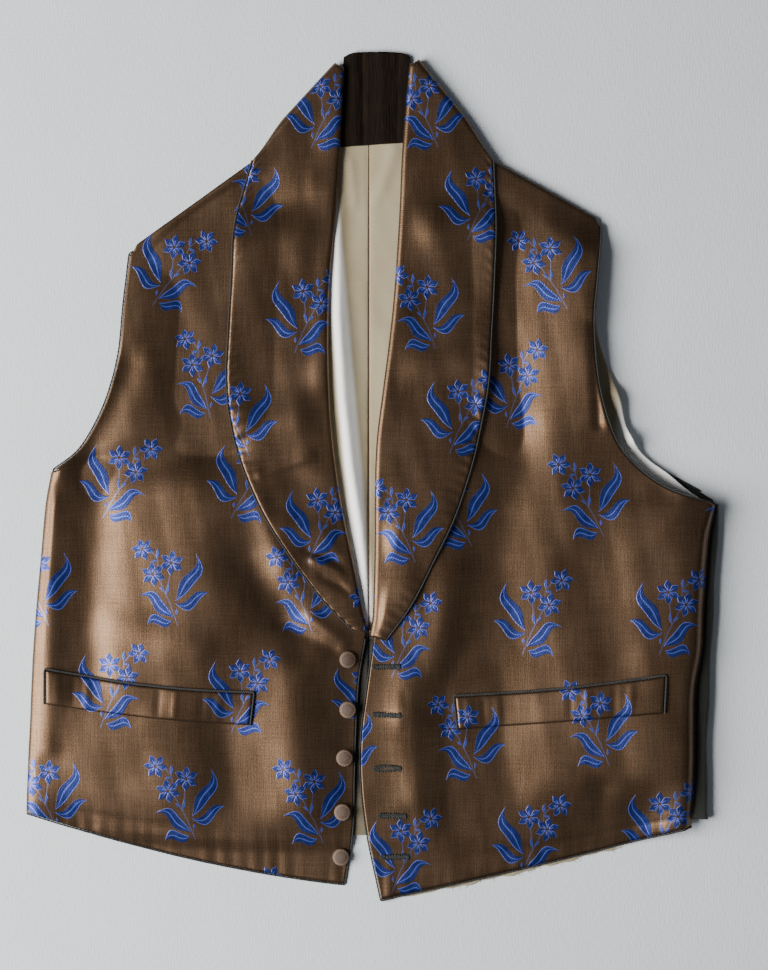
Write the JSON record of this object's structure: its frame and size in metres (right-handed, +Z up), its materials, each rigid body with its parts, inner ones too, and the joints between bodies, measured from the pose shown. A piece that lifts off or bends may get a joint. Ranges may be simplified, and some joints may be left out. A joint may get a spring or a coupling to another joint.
{
  "type": "waistcoat laid flat",
  "caption": "Man's single-breasted waistcoat of the 1850s laid flat, with a folded shawl collar, curved armholes, welt pockets, covered buttons and a figured silk front.",
  "frame": {"origin": "middle of the garment's box, on the surface it lies on", "axes": "+Y from hem to neck, +X to the wearer's left, +Z up out of the fronts"},
  "size_m": [0.519, 0.6378, 0.0148],
  "materials": {
    "silk": "brown ribbed silk with blue woven sprays",
    "back_cotton": "dark glazed cotton, matt",
    "lining_cotton": "cream plain-woven cotton",
    "facing_cloth": "very dark brown napped cloth",
    "piping_cord": "near-black twisted cord",
    "button_silk": "brown silk stretched over a mould",
    "buttonhole_thread": "dark green-black silk twist, worked"
  },
  "bodies": {
    "root": {"back_lining_left": "lining_cotton", "back_lining_right": "lining_cotton", "back_shell_left": "back_cotton", "back_shell_right": "back_cotton", "button_1": "button_silk", "button_2": "button_silk", "button_3": "button_silk", "button_4": "button_silk", "button_5": "button_silk", "buttonhole_1": "buttonhole_thread", "buttonhole_2": "buttonhole_thread", "buttonhole_3": "buttonhole_thread", "buttonhole_4": "buttonhole_thread", "buttonhole_5": "buttonhole_thread", "collar_back": "silk", "collar_left": "silk", "collar_right": "silk", "front_left": "silk", "front_lining_left": "lining_cotton", "front_right": "silk", "neck_facing": "facing_cloth", "piping_armhole_left": "piping_cord", "piping_armhole_right": "piping_cord", "piping_collar_left": "piping_cord", "piping_collar_right": "piping_cord", "piping_front_left": "piping_cord", "piping_front_right": "piping_cord", "piping_welt_left": "piping_cord", "piping_welt_right": "piping_cord", "pocket_welt_left": "silk", "pocket_welt_right": "silk"}
  },
  "joints": []
}
